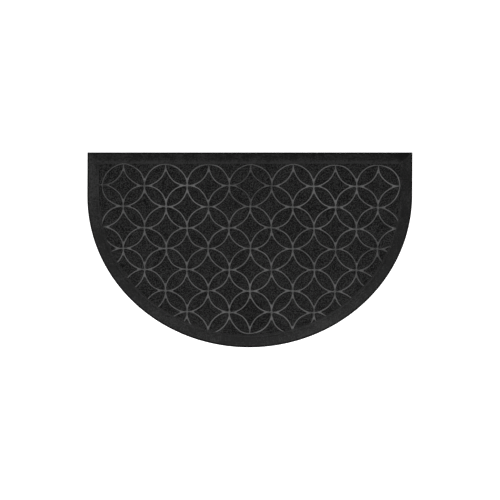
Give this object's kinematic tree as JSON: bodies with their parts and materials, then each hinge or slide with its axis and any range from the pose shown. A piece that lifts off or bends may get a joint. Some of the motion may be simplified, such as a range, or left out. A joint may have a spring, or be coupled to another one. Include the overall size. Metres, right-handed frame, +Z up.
{
  "type": "half round doormat",
  "caption": "Flat half round doormat: moulded rubber base with a bevelled rim, and a needled felt face pressed with overlapping circles.",
  "frame": {"origin": "on the underside's plane, under the middle of the outline's bounding box", "axes": "+X along the straight edge, +Y towards the straight edge, +Z up from the surface that the mat lies on"},
  "size_m": [0.762, 0.4572, 0.007],
  "materials": {
    "rubber": "matt moulded rubber, charcoal black",
    "felt": "matt needled felt, charcoal black, fused grey in the pressed grooves"
  },
  "bodies": {
    "root": {"rubber_base": "rubber", "felt_face": "felt"}
  },
  "joints": []
}
